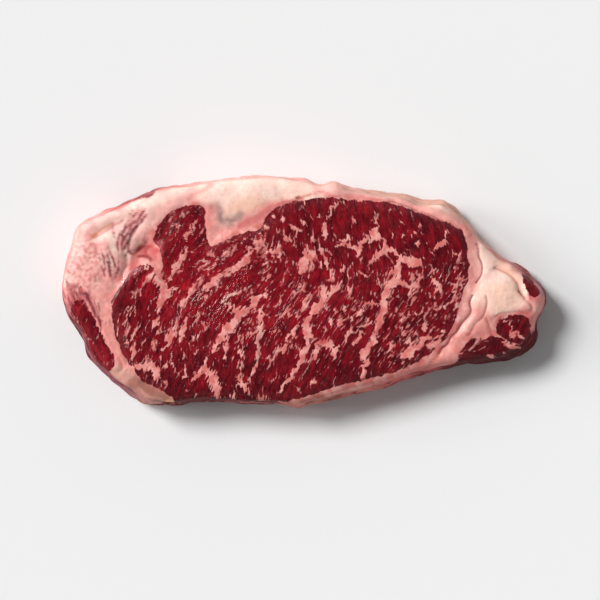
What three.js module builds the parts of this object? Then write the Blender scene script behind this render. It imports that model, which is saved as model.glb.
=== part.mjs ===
// A raw, well-marbled strip loin steak, lying flat on its lower cut face.
// Millimetres, +Z up, +X towards the tapered tail, +Y towards the fat cap.
// The slab is one closed solid. Its plan is the outer edge of the steak. Its upper face carries the form of
// the meat: the eye muscle in its seam, the fat cap, the folds of the tail and the thin side muscles.
import * as THREE from "three";

const THICKNESS = 25;
const TAIL_DROP = 2.4; // how much thinner the tail's tip is
const TAIL_START = 72; // where along X the tail begins to thin
const TAIL_REACH = 44;

const AROUND = 180; // points round the edge
const TOP_RINGS = 22; // from the upper edge in to the spine
const SPINE_LEFT = -56;
const SPINE_RIGHT = 62;
const SPINE_Y = -1;

const FOOT_INSET = 2.6; // the lower edge is rounded by its own weight
const FOOT_HEIGHT = 4;
const EDGE_LEAN = 2.2; // how far the upper edge lies inside the widest line
const LEAN_CURVE = 1.6; // above 1, the wall leans more the higher it is
const EDGE_RADIUS = 3.2; // rounding of the upper edge
const TURN_STEPS = [0.08, 0.42, 1]; // shares of that rounding at which the upper face has a ring
const WALL_LEVELS = [0.06, 0.17, 0.36, 0.56, 0.76]; // shares of the height at which the wall has a ring
const WALL_RIPPLE = { size: 9, depth: 0.9 };

const SEAM_WIDTH = 2.9; // half-width of the groove round a muscle
const MUSCLE_SHOULDER = 4; // the width over which a muscle rises from its seam

const EDGE_SAMPLES = 1000;
const MUSCLE_SAMPLES = 160;
const FOLD_SAMPLES = 48;

// The broad unevenness of the cut face: how far its swells are apart and how much they rise.
const SWELLS = [
  { size: 31, rise: 0.5 },
  { size: 12, rise: 0.3 },
];

// The plan's edge, clockwise from the left end.
const EDGE = [
  [-115, 1], [-113.8, 9.5], [-110.2, 22.4], [-109, 29.5], [-106, 33], [-96, 38], [-83, 43.8], [-76.4, 47],
  [-72.6, 48.7], [-49.3, 52.4], [-34, 54.5], [-19.8, 55.5], [-9.8, 54.8], [0.7, 53.2], [7.9, 51.3],
  [10.9, 52.6], [15, 53.3], [18.8, 51.7], [22.3, 50.1], [48.8, 47], [56, 44.5], [66.9, 45], [70.4, 41.8],
  [79.8, 32.4], [84, 26.3], [94.5, 16.8], [102.1, 13.3], [109.3, 7.2], [113.3, 3.6], [115.5, -2],
  [114.3, -7.5], [110.8, -16.2], [111.9, -19.8], [107.4, -27.6], [101.7, -31], [93.6, -33.1], [80.2, -34.3],
  [68.8, -36.4], [46, -43.2], [37.4, -46.2], [11.7, -52], [2.1, -54.1], [-2.6, -55.7], [-6.4, -54.4],
  [-26.4, -53.2], [-47.9, -51.9], [-61.7, -53.2], [-76.2, -53.6], [-81.2, -50], [-90.2, -43.8],
  [-101.2, -32.4], [-106.2, -21.4], [-112.6, -10.5],
];

// Muscles: how much the meat stands above the fat (below it, if negative), its seam's depth and its line.
const MUSCLES = [
  {
    name: "eye",
    rise: 0.5,
    seam: 0.9,
    line: [
      [-91.2, -5.5], [-86.7, 2.5], [-80.6, 11], [-75, 18], [-69, 23.5], [-60.5, 38], [-55, 40.2],
      [-47.6, 40.3], [-46, 28.5], [-45.2, 22.4], [-40, 26.5], [-33, 28.8], [-22.6, 29], [-14.5, 38.5],
      [-8, 41.5], [10.2, 44.8], [23.6, 43.4], [41.9, 41.7], [60, 36.2], [74.7, 29.7], [78.6, 17.6],
      [78, 5.6], [75.8, 0.9], [72, -13.9], [68.7, -21.6], [60.5, -29.2], [47.9, -36.9], [32.1, -41],
      [9, -48.3], [-12.9, -50.8], [-34.1, -50.8], [-61.2, -52.8], [-72.1, -44.4], [-79.4, -36.5],
      [-86.7, -26.2], [-89.8, -14],
    ],
  },
  {
    name: "left strip",
    rise: -0.9,
    seam: 0.3,
    line: [
      [-112, -8.3], [-106, -0.5], [-99.3, -7], [-93.6, -19.7], [-90.2, -30.3], [-93.2, -36], [-97.3, -34],
      [-103.2, -26], [-108.2, -15],
    ],
  },
  {
    name: "upper left patch",
    rise: -0.7,
    seam: 0.2,
    line: [
      [-87, 19], [-84.8, 28], [-79.5, 35.5], [-76, 34], [-78.5, 26], [-82, 17.5],
    ],
  },
  {
    name: "tail round",
    rise: -0.5,
    seam: 0.6,
    line: [
      [91.9, -14.6], [98.9, -11.2], [104.3, -11.4], [108.3, -16], [108, -19.8], [105, -24], [100.7, -24],
      [94.5, -20.2],
    ],
  },
  {
    name: "tail edge",
    rise: -1.1,
    seam: 0.5,
    line: [
      [73.4, -31.3], [77, -24.8], [81, -21.5], [86.4, -23.3], [89.4, -20.8], [95, -23], [102, -26.5],
      [108.5, -23.5], [103, -31], [90, -34.4], [74, -35.8],
    ],
  },
  {
    name: "tip",
    rise: -1.5,
    seam: 0,
    line: [
      [104.3, 8.4], [108, 6.9], [112, 2.2], [109.8, -2.2], [107, 1], [105.4, 4.8],
    ],
  },
];

// Folds where sheets of fat and gristle meet: the groove's half-width and depth, and its line.
const FOLDS = [
  {
    width: 3,
    depth: 1.2,
    line: [
      [81.2, 27], [84, 14.3], [83.1, 5.7], [80.2, -3.8], [77.4, -14.3], [69.8, -25.2], [61.2, -33.3],
      [51, -39.5],
    ],
  },
  {
    width: 2.8,
    depth: 1.1,
    line: [
      [90.6, 11], [99.8, 7.1], [103.5, 1], [106.4, -3.1], [108.3, -8.1], [106.8, -11],
    ],
  },
  {
    width: 2.8,
    depth: 1,
    line: [
      [22, 46.2], [40, 44.8], [56, 39.8], [68, 35.3], [77.6, 31.2],
    ],
  },
  {
    width: 2.8,
    depth: 1.2,
    line: [
      [-99, 26.4], [-93, 29.2], [-86, 32.2], [-79, 36.8],
    ],
  },
  {
    width: 2.8,
    depth: 0.8,
    line: [
      [-82.4, -34.2], [-84, -38], [-88.5, -40.2], [-94, -39.6],
    ],
  },
  {
    width: 2.6,
    depth: 0.4,
    line: [
      [-19.6, 20], [-20.4, 6], [-23.4, -6], [-24.8, -19],
    ],
  },
];

// Swellings and hollows: centre, radii along X and Y, turn in degrees and rise.
const PADS = [
  { at: [-30, 46], radii: [26, 9], turn: 4, rise: 1.5 },
  { at: [-72, 38], radii: [17, 6], turn: 26, rise: 1.2 },
  { at: [-96, 14], radii: [10, 16], turn: 10, rise: 0.9 },
  { at: [-101, 33], radii: [9, 4], turn: 24, rise: 1.2 },
  { at: [-81.5, 24], radii: [3.6, 6.5], turn: -24, rise: 1.5 },
  { at: [-75, 21.5], radii: [6.5, 6], turn: 0, rise: -1.9 },
  { at: [94, -1], radii: [10, 11], turn: 0, rise: 1.3 },
  { at: [82, -12], radii: [5, 12], turn: -24, rise: 0.6 },
  { at: [108, -4], radii: [3.5, 8], turn: 14, rise: 1.0 },
  { at: [62, 42], radii: [13, 4], turn: -8, rise: 0.9 },
  { at: [14.5, 49.5], radii: [5, 4], turn: 0, rise: 1.5 },
  { at: [-78, -46], radii: [12, 5], turn: -38, rise: 1.0 },
  { at: [-58, 4], radii: [9, 26], turn: -38, rise: -0.7 },
  { at: [24, 4], radii: [34, 24], turn: 10, rise: 0.7 },
  { at: [-6, -30], radii: [22, 16], turn: 30, rise: 0.6 },
];

// Where the wall leans in more than elsewhere: centre, reach and the extra lean.
const LEANS = [
  { at: [58, 46], reach: 26, more: 3.6 },
  { at: [102, 12], reach: 13, more: 2.6 },
  { at: [105, -29], reach: 16, more: 2.2 },
  { at: [40, -46], reach: 34, more: 2.0 },
  { at: [-88, -46], reach: 16, more: 2.4 },
  { at: [-108, -20], reach: 16, more: 1.6 },
  { at: [-100, 34], reach: 22, more: 1.2 },
];

const CENTRE = new THREE.Vector2(0, 0);

const smooth = (t) => THREE.MathUtils.smoothstep(t, 0, 1);
const bell = (d) => Math.exp(-d * d);

// A smooth curve through points, as a list of Vector2.
function curve(points, closed, samples) {
  const through = points.map(([x, y]) => new THREE.Vector3(x, y, 0));
  return new THREE.CatmullRomCurve3(through, closed, "centripetal")
    .getSpacedPoints(samples)
    .map((p) => new THREE.Vector2(p.x, p.y));
}

// The shortest way from a point to a curve.
function distanceTo(p, line) {
  let best = Infinity;
  for (let i = 0; i + 1 < line.length; i++) {
    const a = line[i];
    const bx = line[i + 1].x - a.x;
    const by = line[i + 1].y - a.y;
    const along = ((p.x - a.x) * bx + (p.y - a.y) * by) / (bx * bx + by * by || 1);
    const t = THREE.MathUtils.clamp(along, 0, 1);
    best = Math.min(best, Math.hypot(p.x - a.x - t * bx, p.y - a.y - t * by));
  }
  return best;
}

// Whether a point lies inside a closed curve.
function isInside(p, line) {
  let inside = false;
  for (let i = 0; i + 1 < line.length; i++) {
    const a = line[i];
    const b = line[i + 1];
    if (a.y > p.y !== b.y > p.y && p.x < a.x + ((p.y - a.y) / (b.y - a.y)) * (b.x - a.x)) inside = !inside;
  }
  return inside;
}

// A repeatable value between -1 and 1 for each corner of a square lattice.
function cornerValue(i, j) {
  const n = Math.sin(i * 127.1 + j * 311.7) * 43758.5453;
  return 2 * (n - Math.floor(n)) - 1;
}

// Smooth unevenness between -1 and 1, whose swells are about `size` across.
function swell(x, y, size) {
  const i = Math.floor(x / size);
  const j = Math.floor(y / size);
  const u = smooth(x / size - i);
  const v = smooth(y / size - j);
  const lower = THREE.MathUtils.lerp(cornerValue(i, j), cornerValue(i + 1, j), u);
  const upper = THREE.MathUtils.lerp(cornerValue(i, j + 1), cornerValue(i + 1, j + 1), u);
  return THREE.MathUtils.lerp(lower, upper, v);
}

const muscles = MUSCLES.map((m) => ({ ...m, line: curve(m.line, true, MUSCLE_SAMPLES) }));
const folds = FOLDS.map((f) => ({ ...f, line: curve(f.line, false, FOLD_SAMPLES) }));

// The level of the upper cut face at a point of the plan.
function faceHeight(p) {
  let z = THICKNESS - TAIL_DROP * smooth((p.x - TAIL_START) / TAIL_REACH);
  for (const { size, rise } of SWELLS) z += rise * swell(p.x, p.y, size);
  for (const { at, radii, turn, rise } of PADS) {
    const q = new THREE.Vector2(p.x - at[0], p.y - at[1]);
    q.rotateAround(CENTRE, THREE.MathUtils.degToRad(-turn));
    z += rise * bell(Math.hypot(q.x / radii[0], q.y / radii[1]));
  }
  for (const { line, rise, seam } of muscles) {
    const d = distanceTo(p, line);
    if (isInside(p, line)) z += rise * smooth(d / MUSCLE_SHOULDER);
    z -= seam * bell(d / SEAM_WIDTH);
  }
  for (const { line, width, depth } of folds) z -= depth * bell(distanceTo(p, line) / width);
  return z;
}

// How far inside the widest line the upper edge lies.
function leanAt(p) {
  return LEANS.reduce(
    (lean, { at, reach, more }) => lean + more * bell(Math.hypot(p.x - at[0], p.y - at[1]) / reach),
    EDGE_LEAN,
  );
}

// The points of the edge, equally spaced from the left end to the right end on each side, so that each point
// has a partner across the spine.
function edgePoints() {
  const through = EDGE.map(([x, y]) => new THREE.Vector3(x, y, 0));
  const edge = new THREE.CatmullRomCurve3(through, true, "centripetal");
  edge.arcLengthDivisions = 2 * EDGE_SAMPLES;
  const shares = Array.from({ length: EDGE_SAMPLES + 1 }, (_, i) => i / EDGE_SAMPLES);
  const rightEnd = shares.reduce((best, u) => (edge.getPointAt(u).x > edge.getPointAt(best).x ? u : best), 0);
  const half = AROUND / 2;
  return Array.from({ length: AROUND }, (_, j) => {
    const u = j < half ? (rightEnd * j) / half : rightEnd + ((1 - rightEnd) * (j - half)) / half;
    const p = edge.getPointAt(u);
    return new THREE.Vector2(p.x, p.y);
  });
}

// The point of the spine that a spoke from edge point j runs to.
function spinePoint(j) {
  const share = Math.min(j, AROUND - j) / (AROUND / 2);
  const along = (1 - Math.cos(Math.PI * share)) / 2;
  return new THREE.Vector2(THREE.MathUtils.lerp(SPINE_LEFT, SPINE_RIGHT, along), SPINE_Y);
}

function steakGeometry() {
  const edge = edgePoints();
  const spine = edge.map((_, j) => spinePoint(j));
  const spoke = edge.map((p, j) => spine[j].clone().sub(p));
  const length = spoke.map((s) => s.length());
  const inset = (j, d) => edge[j].clone().addScaledVector(spoke[j], d / length[j]);

  const positions = [];
  const rings = [];
  const addRing = (place) => {
    rings.push(edge.map((_, j) => positions.push(...place(j)) / 3 - 1));
  };

  // The foot, and the wall up to where the upper edge begins to turn in.
  addRing((j) => {
    const p = inset(j, FOOT_INSET);
    return [p.x, p.y, 0];
  });
  for (const level of WALL_LEVELS) {
    addRing((j) => {
      const z = level * (THICKNESS - EDGE_RADIUS);
      const foot = FOOT_INSET * (1 - Math.sqrt(1 - (1 - Math.min(1, z / FOOT_HEIGHT)) ** 2));
      const lean = leanAt(edge[j]) * level ** LEAN_CURVE;
      const ripple = WALL_RIPPLE.depth * level * swell(edge[j].x + z, edge[j].y - z, WALL_RIPPLE.size);
      const p = inset(j, foot + lean + ripple);
      return [p.x, p.y, z];
    });
  }

  // The upper face, from its rounded edge in to the last ring before the spine.
  const flatFrom = TURN_STEPS.length - 1;
  for (let k = 0; k < TOP_RINGS; k++) {
    addRing((j) => {
      const lean = leanAt(edge[j]);
      const round = EDGE_RADIUS * TURN_STEPS[Math.min(k, flatFrom)];
      const share = Math.max(0, k - flatFrom) / (TOP_RINGS - flatFrom);
      const d = THREE.MathUtils.lerp(lean + round, length[j], share);
      const p = inset(j, d);
      const turn = Math.max(0, 1 - (d - lean) / EDGE_RADIUS);
      const drop = EDGE_RADIUS * (1 - Math.sqrt(1 - turn * turn));
      return [p.x, p.y, faceHeight(p) - drop];
    });
  }

  // The spine closes the upper face, and a flat one below closes the underside. Partners share a point.
  const closeOn = (height) => {
    const half = AROUND / 2;
    const made = Array.from({ length: half + 1 }, (_, j) => positions.push(...height(spine[j])) / 3 - 1);
    return edge.map((_, j) => made[Math.min(j, AROUND - j)]);
  };
  rings.push(closeOn((p) => [p.x, p.y, faceHeight(p)]));
  rings.unshift(closeOn((p) => [p.x, p.y, 0]));

  const index = [];
  for (let k = 0; k + 1 < rings.length; k++) {
    for (let j = 0; j < AROUND; j++) {
      const next = (j + 1) % AROUND;
      const [a, b, c, d] = [rings[k][j], rings[k][next], rings[k + 1][next], rings[k + 1][j]];
      index.push(a, c, b, a, d, c);
    }
  }

  const geometry = new THREE.BufferGeometry();
  geometry.setAttribute("position", new THREE.Float32BufferAttribute(positions, 3));
  geometry.setIndex(index);
  geometry.computeBoundingBox();
  const centre = geometry.boundingBox.getCenter(new THREE.Vector3());
  geometry.translate(-centre.x, -centre.y, 0);
  geometry.computeVertexNormals();
  return geometry;
}

const rawBeef = new THREE.MeshStandardMaterial({ color: 0xa8323c, roughness: 0.38, metalness: 0 });

const steak = new THREE.Mesh(steakGeometry(), rawBeef);
steak.name = "steak";

const group = new THREE.Group();
group.add(steak);

export default group;
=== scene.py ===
# A raw, well-marbled strip loin steak, lying on its lower cut face.
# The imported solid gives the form. A finer skin is laid over it, and the pattern of lean and fat is worked
# out as maps over the plan. The skin carries them as attributes that its material turns into meat.
# Lengths are in millimetres until the mesh is made, which is in metres.
import itertools
import math

import bpy
import numpy as np
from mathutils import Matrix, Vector
from mathutils.bvhtree import BVHTree


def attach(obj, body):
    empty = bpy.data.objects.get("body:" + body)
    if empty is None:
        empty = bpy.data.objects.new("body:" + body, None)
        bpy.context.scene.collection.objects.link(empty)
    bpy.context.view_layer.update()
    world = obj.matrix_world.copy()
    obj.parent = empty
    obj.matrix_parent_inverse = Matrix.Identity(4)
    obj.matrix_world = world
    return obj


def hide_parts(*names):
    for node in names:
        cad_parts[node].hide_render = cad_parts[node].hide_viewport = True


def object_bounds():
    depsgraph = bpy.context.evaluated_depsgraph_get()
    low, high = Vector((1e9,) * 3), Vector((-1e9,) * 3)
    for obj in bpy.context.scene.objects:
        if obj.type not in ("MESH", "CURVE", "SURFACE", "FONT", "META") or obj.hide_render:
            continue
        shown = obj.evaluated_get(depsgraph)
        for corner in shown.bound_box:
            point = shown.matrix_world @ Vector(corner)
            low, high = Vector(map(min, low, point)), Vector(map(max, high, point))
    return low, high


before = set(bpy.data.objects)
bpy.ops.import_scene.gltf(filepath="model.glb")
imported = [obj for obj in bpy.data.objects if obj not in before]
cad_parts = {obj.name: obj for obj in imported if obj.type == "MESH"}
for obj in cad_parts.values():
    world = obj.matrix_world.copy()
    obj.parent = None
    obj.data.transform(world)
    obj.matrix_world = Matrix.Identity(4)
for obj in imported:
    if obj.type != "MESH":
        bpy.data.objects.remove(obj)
CAD_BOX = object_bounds()

MM = 0.001
BOX_LOW = np.array(CAD_BOX[0]) / MM
BOX_HIGH = np.array(CAD_BOX[1]) / MM
HEADROOM = 10.0

# The skin's mesh: points round the edge, and rings from the underside's middle to the upper face's.
AROUND = 900
UNDER_RINGS = 60
FOOT_RINGS = 3
WALL_RINGS = 10
RIM_RINGS = 7
TOP_RINGS = 86
FIRST_RIM_RING = UNDER_RINGS + FOOT_RINGS + WALL_RINGS
SIDE_RINGS = FOOT_RINGS + WALL_RINGS + RIM_RINGS // 2 + 1
SETTLE_ROUNDS = 6
FOOT_REACH = 4.0
FOOT_TILT = -75.0
RIM_REACH = 5.0
RIM_PIVOT = RIM_REACH + 1.0
RIM_PROBE = RIM_REACH + 2.5
SWEEP_REACH = 20.0
SPINE_ENDS = (-56.0, 62.0)
SPINE_Y = -1.0
EDGE_RAYS = 2400
SMALL_AREA = 1e-6

# The maps over the plan.
PITCH = 0.25
MARGIN = 3.0
GX, GY = np.meshgrid(
    np.arange(BOX_LOW[0] - MARGIN, BOX_HIGH[0] + MARGIN, PITCH),
    np.arange(BOX_LOW[1] - MARGIN, BOX_HIGH[1] + MARGIN, PITCH),
)
PLAN = GX.shape
# Just short of the last row and column, so that every place has cells on both sides.
LAST_ROW = PLAN[0] - 1.001
LAST_COLUMN = PLAN[1] - 1.001
FAR = 1e9
TINY = 1e-9
FAT_LIMIT = 1.5
DEPTH_LIMIT = 14.0
RELIEF_BLUR = 0.18
SHOWN_SEED = 100
HIDDEN_SEED = 500

# Heights on a cut face: fat over lean, the seam round a muscle, the swell of the eye's edge, fine fibres,
# bundles of them and torn ridges.
FAT_RISE = 0.14
SEAM_DEPTH = 0.14
EYE_SWELL = 0.60
FIBRE_RISE = 0.035
BUNDLE_RISE = 0.05
TORN_RISE = 0.07
# How dull the lean is along a muscle's edge.
EDGE_DULLNESS = -0.6

# Short pieces that a smooth line has between two points of its route.
LINE_STEPS = 6
# What a mark counts for even far off, so that no place is left without a value.
FAR_WEIGHT = 1e-6

# How far marks reach when they are blended over the plan.
FIBRE_REACH = 12.0
FLECK_REACH = 9.0
TONE_REACH = 12.0
SIDE_REACH = 9.0

# Fibres: the lowest angle that they are given, how many cells a step along them takes, how far the grid of
# bundles reaches past the plan, the width and length of bundles, and how much the grain shifts with height.
LOWEST_ANGLE = math.radians(-10.0)
COMB_STRIDE = 1.5
SPARE = 2
BUNDLE = (2.6, 5.2)
WIDE_BUNDLE = (5.5, 10.0)
FIBRE_SHIFT = 0.3

# Uneven edges: step in the seed, size in millimetres and share of each swell, and how far edges swerve.
EDGE_SWELLS = [(0, 3.2, 1.0), (10, 1.3, 0.45), (20, 0.7, 0.22)]
EDGE_SWERVE = 0.22
STREAK_SWERVE = 0.42
STREAK_REACH = 2.5
EDGE_WIDTH = 1.2
CAP_FADE = 9.0

# The sides are less moist than the cut faces, and their map is as high as the steak.
SIDE_DRYNESS = -1.4
SIDE_HEIGHT = 26.0
SIDE_BLUR = 0.3

# The meat is never smoother or rougher than this, and its sides shine less than the cut faces.
LOWEST_ROUGHNESS = 0.07
HIGHEST_ROUGHNESS = 0.85
CUT_SHINE = 0.42
SIDE_SHINE = 0.06

# Relief of the material, in metres: the grain of lean, what wet ridges add to it, and fat.
LEAN_GRAIN = 0.00011
TORN_GRAIN = 0.00042
FAT_GRAIN = 0.00014
FAT_LEVEL = 0.00022

# The floor and how far the camera sees, in metres.
FLOOR_SIZE = 4.0
FLOOR_GAP = 0.0002
CLIP_END = 20.0

# How the photograph's 600 x 600 pixels lie on the plan.
PIXELS_PER_MM = 2.1
ORIGIN_PIXEL = (304.0, 292.2)
IMAGE_SIZE = 600
MIDDLE = IMAGE_SIZE / 2
CAMERA_HEIGHT = 1100.0
WIDEST_LEVEL = 4.0
TOP_LEVEL = 24.0
NEARER = (CAMERA_HEIGHT - TOP_LEVEL) / (CAMERA_HEIGHT - WIDEST_LEVEL)


def at(px, py):
    """The place on the plan of a point of the upper face that a pixel of the photograph shows."""
    x = (MIDDLE - ORIGIN_PIXEL[0] + (px - MIDDLE) * NEARER) / PIXELS_PER_MM
    y = (ORIGIN_PIXEL[1] - MIDDLE - (py - MIDDLE) * NEARER) / PIXELS_PER_MM
    return x, y


# Routes and outlines are strings of points, each the x,y of a pixel in the photograph. Tables of routes are
# written as text: semicolons part their entries, and in each the route comes last.

# Outlines of the muscles on the cut face.
EYE = (
    "112,304 120,290 127,279 134,270 142,266 149,264 153,270 158,274 163,268 163,258 161,249 155,241 "
    "155,234 161,222 173,211 187,206 204,207 205,222 207,238 212,247 226,240 236,236 248,232 258,231 "
    "264,224 268,215 276,208 290,203 308,200 330,198 352,201 375,202 392,204 410,210 430,217 448,224 "
    "461,231 466,243 468,262 467,279 461,298 455,320 447,336 437,346 425,357 404,368 386,374 368,379 "
    "345,383 322,391 298,398 277,400 250,401 226,402 208,405 180,406 173,397 158,388 144,382 136,371 "
    "128,360 121,348 115,330"
)
LEFT_STRIP = "70,308 82,300 92,316 100,332 108,347 115,360 110,370 101,370 92,356 82,338 74,322"
TAIL_ROUND = "497,325 506,317 517,315 526,317 531,325 530,335 522,343 511,342 500,335"
TAIL_EDGE = (
    "457,360 463,348 472,338 482,338 484,341 491,336 503,340 520,345 531,336 538,331 537,343 528,356 "
    "514,364 490,366 470,368 458,367"
)
TIP_POCKET = "523,274 529,277 537,286 540,294 534,297 528,291 524,283"
# Streaky mixtures of lean and fat beside them.
STREAKED = [
    "141,211 143,220 135,230 131,244 124,250 118,246 118,234 122,226 132,220",
    "104,260 110,257 117,262 116,270 110,275 104,268",
    "67,286 78,284 88,294 96,310 104,322 96,322 84,308 76,316 68,304",
]

# The run of the meat's fibres: pixel and angle in degrees from +X.
FIBRES = [
    (165, 235, 50), (235, 265, 38), (225, 245, 36), (130, 300, 60), (145, 330, 68), (180, 335, 72),
    (180, 380, 60), (205, 300, 50), (235, 335, 58), (260, 370, 68), (300, 320, 55), (300, 235, 96),
    (345, 335, 66), (330, 370, 70), (350, 225, 102), (385, 250, 100), (430, 225, 114), (450, 300, 52),
    (430, 345, 44), (400, 320, 75), (95, 340, 122), (90, 270, 115), (470, 355, 20), (515, 330, 70),
]

# How far the edges of the marbling are drawn out along the fibres, in millimetres.
FRAYS = [
    (180, 230, 0.8), (150, 300, 0.9), (230, 260, 1.1), (240, 330, 0.9), (180, 370, 0.8), (300, 330, 0.6),
    (300, 225, 0.4), (360, 230, 0.35), (420, 250, 0.3), (380, 300, 0.4), (430, 330, 0.5), (350, 370, 0.7),
    (90, 330, 1.2), (510, 330, 0.4),
]

# How thickly fine flecks of fat lie in the lean, from 0 to 1.
FLECKS = [
    (300, 213, 0.1), (350, 212, 0.2), (400, 212, 0.12), (445, 228, 0.14), (300, 250, 0.44),
    (370, 232, 0.28), (410, 240, 0.28), (440, 270, 0.52), (440, 315, 0.66), (420, 335, 0.66),
    (457, 290, 0.5), (345, 300, 0.48), (330, 270, 0.44), (236, 250, 0.45), (215, 255, 0.38),
    (182, 222, 0.45), (170, 260, 0.36), (125, 300, 0.18), (145, 318, 0.24), (200, 312, 0.54),
    (190, 352, 0.4), (232, 290, 0.52), (158, 372, 0.18), (210, 388, 0.26), (268, 372, 0.36),
    (250, 348, 0.24), (330, 360, 0.44), (288, 340, 0.55), (400, 330, 0.52), (150, 268, 0.24),
    (500, 350, 0.08), (515, 330, 0.14), (95, 340, 0.26), (300, 390, 0.05), (345, 384, 0.04),
    (166, 392, 0.12), (232, 322, 0.7), (302, 322, 0.66), (192, 322, 0.62), (407, 322, 0.85),
    (444, 322, 0.46), (160, 322, 0.02), (234, 388, 0.1), (266, 390, 0.12), (198, 216, 0.62),
    (262, 240, 0.5), (228, 282, 0.58),
]

# How bright the lean is, from maroon at 0 to bright red at 1, judged.
# Partly the lean's own tone and partly painted light and shade: brighter on the left, where the lamps fall,
# darker towards the upper right, and dark at the eye's left rim as painted shade.
LEAN_TONE_LIGHT_AND_SHADE = [
    # The lobe, the bright junction below it and the dark left edge.
    (180, 220, 0.3), (150, 272, 0.9), (118, 300, 0),
    # A brighter band across the middle.
    (210, 258, 0.5), (245, 300, 0.5), (305, 322, 0.5), (375, 290, 0.4),
    # The upper edge, darker towards the right.
    (290, 220, 0.3), (370, 222, 0.3), (442, 230, 0.1),
    # The right end and the lower right.
    (445, 295, 0.3), (395, 345, 0.2),
    # The lower left, and the dark lower edge.
    (140, 335, 0.4), (200, 350, 0.4), (290, 360, 0.4), (165, 390, 0), (250, 390, 0), (335, 382, 0),
    # The strip, the tail's muscles, the pocket at its tip and the patch in the corner.
    (95, 335, 0.4), (520, 328, 0.1), (500, 355, 0), (530, 288, 0.4), (130, 230, 0.5),
]

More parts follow.
